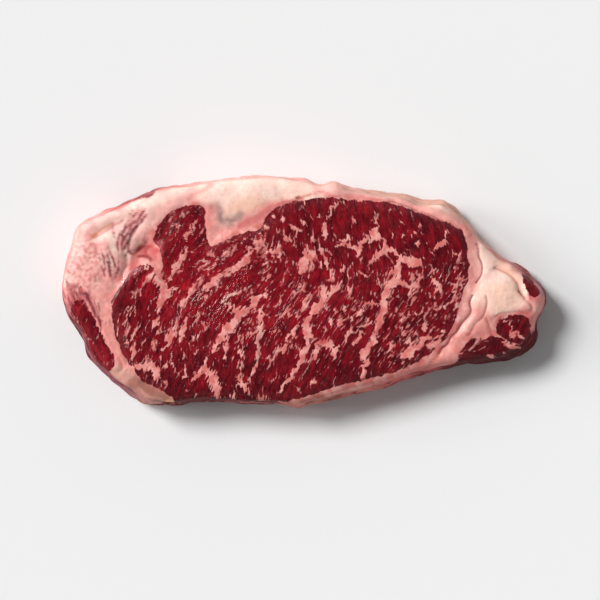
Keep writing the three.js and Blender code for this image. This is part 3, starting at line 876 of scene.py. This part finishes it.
def face_relief(seed, fat, tone, lean_depth, eye_depth):
    """The rises and hollows of a cut face, in millimetres."""
    is_fat = smooth(0.5 + fat / 0.7)
    fibres = FIBRE_RISE * comb(noise(seed + 12, 1.0), 2.0) + BUNDLE_RISE * (tone - 0.5)
    seam = SEAM_DEPTH * hump(lean_depth + 0.2, 0.7)
    swell = EYE_SWELL * hump(eye_depth + 0.6, 3.0)
    uneven_fat = 0.10 * noise(seed + 13, 6.0) + 0.03 * noise(seed + 14, 1.8)
    return (
        FAT_RISE * is_fat * (lean_depth > 0) + fibres * (1.0 - is_fat)
        - seam + swell + uneven_fat * smooth(-lean_depth / 2.0)
    )


def cut_face(seed, placed):
    """The maps of one cut face. `placed` says whether it has the tints and relief of the shown face."""
    edge_warp = warped(seed, EDGE_SWERVE)
    line_warp = [0.35 * noise(seed + 60 + k, 6.0) for k in range(2)]
    eye_depth = depth_inside(EYE, edge_warp)
    others = [depth_inside(line, edge_warp) for line in (LEFT_STRIP, TAIL_ROUND, TAIL_EDGE, TIP_POCKET)]
    lean_depth = np.maximum.reduce([eye_depth, *others])
    density = spread(FLECKS, FLECK_REACH)
    fat, tone = fat_map(seed, lean_depth, density)
    colour = fat_colours(seed, lean_depth)
    relief = face_relief(seed, fat, tone, lean_depth, eye_depth)
    wet = EDGE_DULLNESS * hump(lean_depth - 1.0, 2.5)

    if placed:
        patch = np.maximum.reduce([depth_inside(line, edge_warp) for line in STREAKED])
        colour = placed_tints(seed, colour, line_warp, patch)
        for strength, width, route in entries(FLAKES):
            lay(wet, route, width, ridge(strength, width / 1.6), join=np.add)
        relief = relief + TORN_RISE * np.maximum(wet, 0.0) * comb(noise(seed + 15, 1.1), 4.0)
        for depth, half, route in entries(GROOVES):
            lay(relief, route, 4 * half, ridge(depth, half), line_warp, np.subtract)
        for height, half, route in entries(WELTS):
            lay(relief, route, 4 * half, ridge(height, half), line_warp, np.add)
    return {
        "fat": fat,
        "fleck": np.where(lean_depth > 0.4, density, 0.0),
        "wet": wet,
        "relief": soften(relief, RELIEF_BLUR),
        "fat_colour": colour,
        "lean_colour": lean_colours(seed, tone),
    }


def side_maps(x, y, s, z):
    """What cut_face gives, for points of the sides: by their place, way round the edge and height."""
    height = int(SIDE_HEIGHT / PITCH)
    width = int(s.max() / PITCH) + 8
    rows = np.clip(z / PITCH * 0.9 + 2, 0, height - 2)
    columns = np.clip(s / PITCH, 0, width - 2)

    def drawn(seed, size, stretch):
        """Swells drawn out along the edge."""
        made = noise(seed, size, (height * stretch, width))[::stretch]
        made = np.repeat(made[:, : width // stretch + 1], stretch, axis=1)[:, :width]
        return pick(soften(made, SIDE_BLUR), rows, columns)

    colour = spread([(px, py, linear(name)) for px, py, name, _ in SIDES], SIDE_REACH, x, y)
    lean = spread([(px, py, share) for px, py, _, share in SIDES], SIDE_REACH, x, y)
    fat = 0.95 - 1.7 * lean + 0.24 * drawn(71, 1.3, 4) + 0.28 * drawn(72, 3.0, 3)
    colour = colour * (0.86 + 0.2 * smooth(0.5 + 0.35 * drawn(73, 4.0, 2))[..., None])
    return {
        "fat": np.clip(fat, -FAT_LIMIT, FAT_LIMIT),
        "fleck": np.zeros(x.shape),
        "wet": np.full(x.shape, SIDE_DRYNESS),
        "relief": 0.34 * drawn(74, 5.0, 2) + 0.16 * drawn(75, 1.8, 3),
        "fat_colour": colour,
        "lean_colour": 0.15 * colour + 0.85 * linear("maroon"),
    }


def read_solid():
    """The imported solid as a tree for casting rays."""
    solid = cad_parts["steak"].data
    points = [tuple(v.co / MM) for v in solid.vertices]
    return BVHTree.FromPolygons(points, [tuple(p.vertices) for p in solid.polygons])


def cast(tree, origins, directions):
    """Where rays first meet the solid."""
    hits = np.zeros_like(origins)
    for k, (origin, direction) in enumerate(zip(origins, directions)):
        place = tree.ray_cast(Vector(origin), Vector(direction))[0]
        if place is None:
            place = tree.find_nearest(Vector(origin))[0]
        hits[k] = place
    return hits


def outer_line(tree):
    """The edge of the steak just above its foot, as AROUND points from the left end, clockwise, and how far
    round the edge each of them lies."""
    turns = np.linspace(math.pi, -math.pi, EDGE_RAYS, endpoint=False)
    way = np.stack([np.cos(turns), np.sin(turns), np.zeros_like(turns)], axis=1)
    start = way * BOX_HIGH[0] * 1.3 + [0, 0, FOOT_REACH + 1.0]
    line = cast(tree, start, -way)[:, :2]
    line = np.roll(line, -int(line[:, 0].argmin()), axis=0)
    line = np.vstack([line, line[:1]])
    passed = np.concatenate([[0.0], np.cumsum(np.hypot(*np.diff(line, axis=0).T))])
    right = passed[line[:, 0].argmax()]
    half = AROUND // 2
    stops = np.concatenate([
        np.linspace(0.0, right, half, endpoint=False),
        np.linspace(right, passed[-1], half, endpoint=False),
    ])
    edge = np.stack([np.interp(stops, passed, line[:, k]) for k in range(2)], axis=1)
    return edge, stops


def spine_points():
    """The place on the steak's spine that each point of the edge looks at."""
    number = np.arange(AROUND)
    share = np.minimum(number, AROUND - number) / (AROUND / 2)
    reach = (1.0 - np.cos(math.pi * share)) / 2.0
    x = SPINE_ENDS[0] + (SPINE_ENDS[1] - SPINE_ENDS[0]) * reach
    return np.column_stack([x, np.full(AROUND, SPINE_Y)])


class Probe:
    """Finds points of the solid's surface from its edge inwards."""

    def __init__(self, tree):
        self.tree = tree
        self.edge, self.stops = outer_line(tree)
        inward = spine_points() - self.edge
        self.length = np.hypot(*inward.T)
        self.inward = inward / self.length[:, None]

    def place(self, d):
        """Places on the plan, d millimetres in from the edge."""
        return self.edge + self.inward * np.reshape(d, (-1, 1))

    def above(self, d):
        """Points of the upper face, d millimetres in from the edge."""
        place = self.place(np.minimum(d, self.length))
        origins = np.column_stack([place, np.full(AROUND, BOX_HIGH[2] + HEADROOM)])
        return cast(self.tree, origins, np.tile([0.0, 0.0, -1.0], (AROUND, 1)))

    def sweep(self, pivot_in, pivot_z, tilt):
        """Points where the solid is met from a pivot inside it, looking out at a tilt in degrees."""
        slope = math.radians(tilt)
        pivot = np.column_stack([self.place(pivot_in), np.broadcast_to(pivot_z, AROUND)])
        way = np.column_stack([-self.inward * math.cos(slope), np.full(AROUND, math.sin(slope))])
        return cast(self.tree, pivot + way * SWEEP_REACH, -way)


def ring_points(probe):
    """The skin's points, ring by ring, from the middle of the underside to the middle of the upper face."""
    rings = []
    for share in np.arange(UNDER_RINGS) / UNDER_RINGS:
        place = probe.place(probe.length + (FOOT_REACH - probe.length) * share)
        rings.append(np.column_stack([place, np.zeros(AROUND)]))
    for share in np.arange(FOOT_RINGS) / FOOT_RINGS:
        rings.append(probe.sweep(FOOT_REACH, FOOT_REACH, FOOT_TILT * (1.0 - share)))
    wall_top = probe.above(RIM_PROBE)[:, 2] - RIM_REACH
    for share in np.arange(WALL_RINGS) / WALL_RINGS:
        rings.append(probe.sweep(FOOT_REACH, FOOT_REACH + (wall_top - FOOT_REACH) * share, 0.0))
    lean_in = np.einsum("ij,ij->i", rings[-1][:, :2] - probe.edge, probe.inward)
    rim_in = lean_in + RIM_PIVOT
    for share in np.arange(RIM_RINGS) / RIM_RINGS:
        rings.append(probe.sweep(rim_in, wall_top, 90.0 * share))
    for share in np.arange(TOP_RINGS + 1) / TOP_RINGS:
        rings.append(probe.above(rim_in + (probe.length - rim_in) * share))
    return np.array(rings)


def settle(rings):
    """Smooths the solid's facets out of the rings above the underside."""
    for _ in range(SETTLE_ROUNDS):
        around = 0.5 * rings + 0.25 * (np.roll(rings, 1, axis=1) + np.roll(rings, -1, axis=1))
        across = around.copy()
        across[1:-1] = 0.5 * around[1:-1] + 0.25 * (around[:-2] + around[2:])
        rings[UNDER_RINGS:] = across[UNDER_RINGS:]
    rings[..., 2] = np.maximum(rings[..., 2], 0.0)
    return rings


def normals(rings):
    """Outward directions at the rings' points."""
    along = np.roll(rings, -1, axis=1) - np.roll(rings, 1, axis=1)
    n = np.cross(np.gradient(rings, axis=0), along)
    size = np.linalg.norm(n, axis=2, keepdims=True)
    n = n / np.maximum(size, TINY)
    n[-1] = n[-2]
    return np.where(size > SMALL_AREA, n, [0.0, 0.0, 1.0])


def blended(weights, layers):
    """Layers of values or colours, added up by their weights."""
    if layers[0].ndim > weights[0].ndim:
        weights = [weight[..., None] for weight in weights]
    return sum(weight * layer for weight, layer in zip(weights, layers))


def skin_values(rings, stops):
    """What the skin carries at its points: the maps of both faces and of the sides."""
    x, y, z = np.moveaxis(rings, -1, 0)
    s = np.broadcast_to(stops, x.shape)
    level = np.arange(len(rings))[:, None] * np.ones(x.shape)
    on_top = smooth((level - FIRST_RIM_RING + 1.0) / (0.45 * RIM_RINGS))
    below = smooth((UNDER_RINGS - level) / 2.0)
    wall = (1.0 - on_top) * (1.0 - below)
    shown = cut_face(SHOWN_SEED, placed=True)
    hidden = cut_face(HIDDEN_SEED, placed=False)
    values = {
        name: blended([on_top, below, wall], [sample(shown[name], x, y), sample(hidden[name], x, y), side])
        for name, side in side_maps(x, y, s, z).items()
    }
    flat = on_top + below
    along, across = fibre_rulers()
    values["fibre"] = np.stack([
        flat * sample(along, x, y) + wall * s,
        flat * sample(across, x, y) + wall * z,
        FIBRE_SHIFT * z * flat,
    ], axis=-1)
    return values


def add_attribute(mesh, name, value):
    """Stores a number, a colour or the fibres' vector for each point of a mesh."""
    kind, field = "FLOAT", "value"
    if name == "fibre":
        kind, field = "FLOAT_VECTOR", "vector"
    elif value.shape[1] == 3:
        kind, field = "FLOAT_COLOR", "color"
        value = np.column_stack([np.clip(value, 0.0, 1.0), np.ones(len(value))])
    layer = mesh.attributes.new(name, kind, "POINT")
    layer.data.foreach_set(field, value.ravel().astype(np.float32))


def build_mesh(name, rings, values, folded, side_rings):
    """A mesh through rings of points. One ring folds onto the spine, and the first ones are sides."""
    rows, around = rings.shape[:2]
    number = np.arange(rows * around).reshape(rows, around)
    partner = np.minimum(np.arange(around), (around - np.arange(around)) % around)
    number[folded] = number[folded, partner]
    beside = np.roll(number, -1, axis=1)
    faces = np.stack([number[:-1], number[1:], beside[1:], beside[:-1]], axis=-1).reshape(-1, 4)
    used, packed = np.unique(faces, return_inverse=True)
    points = rings.reshape(-1, 3)[used]

    polygons = [tuple(dict.fromkeys(face)) for face in packed.reshape(-1, 4).tolist()]
    whole = np.array([len(p) > 2 for p in polygons])
    on_side = np.repeat(np.arange(rows - 1) < side_rings, around)
    mesh = bpy.data.meshes.new(name)
    mesh.from_pydata((points * MM).tolist(), [], [p for p in polygons if len(p) > 2])
    mesh.polygons.foreach_set("material_index", on_side[whole].astype(np.int32))
    mesh.polygons.foreach_set("use_smooth", np.ones(len(mesh.polygons), bool))
    for key, value in values.items():
        add_attribute(mesh, key, value.reshape(rows * around, -1)[used])
    mesh.update()
    mesh.validate()
    return mesh


def steak_skins():
    """The fine meshes of the steak with their attributes: the underside, and the rest."""
    probe = Probe(read_solid())
    rings = settle(ring_points(probe))
    values = skin_values(rings, probe.stops)
    lift = values.pop("relief")
    lift[:UNDER_RINGS + 1] = 0.0
    rings = rings + normals(rings) * lift[..., None]
    rings[..., 2] = np.maximum(rings[..., 2], 0.0)
    parts = [
        ("steak_under", slice(0, UNDER_RINGS + 1), 0, 0),
        ("steak_top", slice(UNDER_RINGS, None), -1, SIDE_RINGS),
    ]
    return [
        build_mesh(name, rings[part], {key: v[part] for key, v in values.items()}, folded, side_rings)
        for name, part, folded, side_rings in parts
    ]


class Tree:
    """A short way to write the nodes of a material or a world."""

    def __init__(self, owner):
        owner.use_nodes = True
        self.nodes = owner.node_tree.nodes
        self.links = owner.node_tree.links
        self.nodes.clear()

    def feed(self, socket, value):
        """Links a socket to another one's value, or sets it."""
        if isinstance(value, bpy.types.NodeSocket):
            self.links.new(value, socket)
        else:
            socket.default_value = value

    def add(self, kind, inputs=None, **settings):
        """A new node with its settings and inputs."""
        node = self.nodes.new(kind)
        for key, value in settings.items():
            setattr(node, key, value)
        for key, value in (inputs or {}).items():
            self.feed(node.inputs[key], value)
        return node

    def attribute(self, name, output="Fac"):
        """What the skin carries under a name."""
        return self.add("ShaderNodeAttribute", attribute_name=name).outputs[output]

    def math(self, operation, *values):
        """The result of a sum on numbers."""
        return self.add("ShaderNodeMath", dict(enumerate(values)), operation=operation).outputs[0]

    def ramp(self, value, low, high, start=0.0, end=1.0):
        """A smooth step from start to end as value goes from low to high."""
        return self.add(
            "ShaderNodeMapRange",
            {"Value": value, "From Min": low, "From Max": high, "To Min": start, "To Max": end},
            interpolation_type="SMOOTHSTEP",
        ).outputs["Result"]

    def noise(self, vector, scale, detail=2.0, roughness=0.55):
        """Random values from 0 to 1."""
        inputs = {"Vector": vector, "Scale": scale, "Detail": detail, "Roughness": roughness}
        return self.add("ShaderNodeTexNoise", inputs).outputs["Fac"]

    def borders(self, vector, scale):
        """How far places are from the borders of random cells."""
        inputs = {"Vector": vector, "Scale": scale, "Randomness": 1.0}
        return self.add("ShaderNodeTexVoronoi", inputs, feature="DISTANCE_TO_EDGE").outputs["Distance"]

    def stretch(self, vector, x, y=1.0, z=1.0):
        """A place with its parts multiplied, so that a pattern is drawn out where a factor is under 1."""
        return self.add("ShaderNodeVectorMath", {0: vector, 1: (x, y, z)}, operation="MULTIPLY").outputs[0]

    def grey(self, value):
        """A colour of three equal parts."""
        return self.add("ShaderNodeCombineColor", {0: value, 1: value, 2: value}).outputs[0]

    def between(self, factor, a, b):
        """A number from a to b."""
        return self.add("ShaderNodeMix", {0: factor, 2: a, 3: b}, data_type="FLOAT").outputs[0]

    def mix(self, factor, a, b, blend="MIX"):
        """A colour from a to b."""
        node = self.add("ShaderNodeMix", data_type="RGBA", blend_type=blend)
        sockets = {socket.identifier: socket for socket in node.inputs}
        self.feed(sockets["Factor_Float"], factor)
        self.feed(sockets["A_Color"], a)
        self.feed(sockets["B_Color"], b)
        return next(o for o in node.outputs if o.identifier == "Result_Color")

    def shaded(self, colour, value):
        """A colour multiplied by a number."""
        return self.mix(1.0, colour, self.grey(value), "MULTIPLY")

    def over(self, colour, name, weight):
        """A colour with a named one laid over it."""
        return self.mix(weight, colour, (*linear(name), 1.0))


def fat_cover(t, fibre):
    """How deep places lie in fat: the map, its edge broken up, and flecks too fine for the map."""
    fat = t.attribute("fat")
    fleck = t.attribute("fleck")
    broken = t.noise(t.stretch(fibre, 0.35), 1.2, 2.0, 0.5)
    edge = t.math("MULTIPLY_ADD", t.math("SUBTRACT", broken, 0.5), 1.2, fat)
    dashes = t.noise(t.stretch(fibre, 0.30), 0.80, 1.5, 0.5)
    dots = t.noise(t.stretch(fibre, 0.62), 0.66, 1.5, 0.5)
    specks = t.between(t.ramp(fleck, 0.50, 0.66), dashes, dots)
    need = t.math("MULTIPLY_ADD", fleck, -0.22, 0.750)
    fine = t.math("MINIMUM", t.math("MULTIPLY", t.math("SUBTRACT", specks, need), 4.0), 0.18)
    return t.math("MAXIMUM", edge, fine)


def lean_look(t, fibre, blotch):
    """The lean's colour: streaks along the fibres, and thin pale skins between the finest bundles."""
    streaks = t.noise(t.stretch(fibre, 0.22), 1.2, 2.0, 0.6)
    lean = t.shaded(t.attribute("lean_colour", "Color"), t.ramp(streaks, 0.32, 0.68, 0.74, 1.32))
    skins = t.ramp(t.borders(t.stretch(fibre, 0.45), 0.95), 0.0, 0.14, 0.035, 0.0)
    return t.over(lean, "salmon", t.math("MULTIPLY", skins, t.ramp(blotch, 0.38, 0.62)))


def fat_look(t, place, blotch, covered):
    """The fat's colour: faint clouds, fine pink veins, and the red below it where it is thin."""
    cloud = t.ramp(t.noise(place, 0.35, 4.0, 0.6), 0.25, 0.75, 0.93, 1.05)
    pale = t.shaded(t.attribute("fat_colour", "Color"), cloud)
    vein = t.ramp(t.borders(t.stretch(place, 0.6), 0.30), 0.0, 0.05, 0.20, 0.0)
    pale = t.over(pale, "rose", t.math("MULTIPLY", vein, t.ramp(blotch, 0.45, 0.65)))
    return t.over(pale, "rose", t.ramp(covered, 0.0, 0.55, 0.42, 0.0))


def fine_relief(t, fibre, place, wet, mask):
    """Relief finer than the mesh, in metres: wet, torn fibres and smoother fat."""
    grain = t.noise(t.stretch(fibre, 0.40), 1.5, 2.0, 0.5)
    ridges = t.math("MULTIPLY_ADD", t.math("MAXIMUM", wet, 0.0), TORN_GRAIN, LEAN_GRAIN)
    fat_height = t.math("MULTIPLY_ADD", t.noise(place, 0.9, 3.0, 0.55), FAT_GRAIN, FAT_LEVEL)
    height = t.between(mask, t.math("MULTIPLY", grain, ridges), fat_height)
    return t.add("ShaderNodeBump", {"Strength": 1.0, "Distance": 1.0, "Height": height}).outputs["Normal"]


def raw_meat(name, shine):
    """Moist lean and fat: the attributes say what lies where, and noise along the fibres breaks it up."""
    material = bpy.data.materials.new(name)
    t = Tree(material)
    fibre = t.attribute("fibre", "Vector")
    place = t.stretch(t.add("ShaderNodeTexCoord").outputs["Object"], 1 / MM, 1 / MM, 1 / MM)
    wet = t.attribute("wet")
    blotch = t.noise(fibre, 0.35, 2.0)
    covered = fat_cover(t, fibre)
    mask = t.ramp(covered, -0.08, 0.32)
    colour = t.mix(mask, lean_look(t, fibre, blotch), fat_look(t, place, blotch, covered))

    # Fat is duller than lean, and wet lean the least rough.
    uneven = t.ramp(t.noise(fibre, 0.8, 3.0), 0.3, 0.7, -0.05, 0.05)
    rough = t.math("ADD", t.math("MULTIPLY_ADD", mask, 0.20, 0.20), uneven)
    rough = t.math("MAXIMUM", t.math("MULTIPLY_ADD", wet, -0.22, rough), LOWEST_ROUGHNESS)
    shader = t.add("ShaderNodeBsdfPrincipled", {
        "Base Color": colour,
        "Roughness": t.math("MINIMUM", rough, HIGHEST_ROUGHNESS),
        "Normal": fine_relief(t, fibre, place, wet, mask),
        "IOR": 1.40,
        "Specular IOR Level": shine,
        "Subsurface Weight": t.math("MULTIPLY", mask, 0.12),
        "Subsurface Radius": (1.0, 0.28, 0.2),
        "Subsurface Scale": 0.0015,
    })
    t.add("ShaderNodeOutputMaterial", {"Surface": shader.outputs[0]})
    return material


def plain_floor():
    """A matt, pale floor."""
    material = bpy.data.materials.new("pale_floor")
    t = Tree(material)
    place = t.add("ShaderNodeNewGeometry").outputs["Position"]
    tone = t.ramp(t.noise(place, 3.0), 0.0, 1.0, 0.80, 0.802)
    shader = t.add("ShaderNodeBsdfPrincipled", {
        "Base Color": t.grey(tone), "Roughness": 0.9, "Specular IOR Level": 0.1,
    })
    t.add("ShaderNodeOutputMaterial", {"Surface": shader.outputs[0]})
    bpy.ops.mesh.primitive_plane_add(size=FLOOR_SIZE, location=(0.0, 0.0, -FLOOR_GAP))
    floor = bpy.context.object
    floor.name = "floor"
    floor.data.materials.append(material)


def lights():
    """Two soft lamps from the left and a sky that is brighter towards the horizon."""
    for k, (strength, elevation, azimuth, width) in enumerate(LAMPS):
        sun = bpy.data.lights.new(f"lamp_{k}", "SUN")
        sun.energy = strength
        sun.angle = math.radians(width)
        lamp = bpy.data.objects.new(f"lamp_{k}", sun)
        e, a = math.radians(elevation), math.radians(azimuth)
        towards = Vector((math.cos(e) * math.cos(a), math.cos(e) * math.sin(a), math.sin(e)))
        lamp.rotation_euler = towards.to_track_quat("Z", "Y").to_euler()
        bpy.context.scene.collection.objects.link(lamp)
    world = bpy.data.worlds.new("studio")
    t = Tree(world)
    way = t.add("ShaderNodeTexCoord").outputs["Generated"]
    height = t.add("ShaderNodeSeparateXYZ", {0: way}).outputs["Z"]
    fade = t.add("ShaderNodeMapRange", {"Value": height, "To Min": SKY_LOW, "To Max": SKY_OVERHEAD})
    sky = t.add("ShaderNodeBackground", {"Color": WHITE, "Strength": fade.outputs["Result"]})
    t.add("ShaderNodeOutputWorld", {"Surface": sky.outputs[0]})
    bpy.context.scene.world = world


def camera():
    """Straight down, at the photograph's scale."""
    data = bpy.data.cameras.new("camera")
    lens = bpy.data.objects.new("camera", data)
    x, y = at(MIDDLE, MIDDLE)
    lens.location = Vector((x, y, CAMERA_HEIGHT)) * MM
    seen = IMAGE_SIZE / PIXELS_PER_MM
    data.lens = data.sensor_width * (CAMERA_HEIGHT - WIDEST_LEVEL) / seen
    data.clip_end = CLIP_END
    bpy.context.scene.collection.objects.link(lens)
    bpy.context.scene.camera = lens


camera()
lights()
plain_floor()
bpy.context.scene.view_settings.view_transform = "Standard"

cut_meat = raw_meat("cut_meat", CUT_SHINE)
side_meat = raw_meat("side_meat", SIDE_SHINE)
for mesh in steak_skins():
    skin = bpy.data.objects.new(mesh.name, mesh)
    bpy.context.scene.collection.objects.link(skin)
    mesh.materials.append(cut_meat)
    mesh.materials.append(side_meat)
    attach(skin, "root")
    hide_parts("steak")
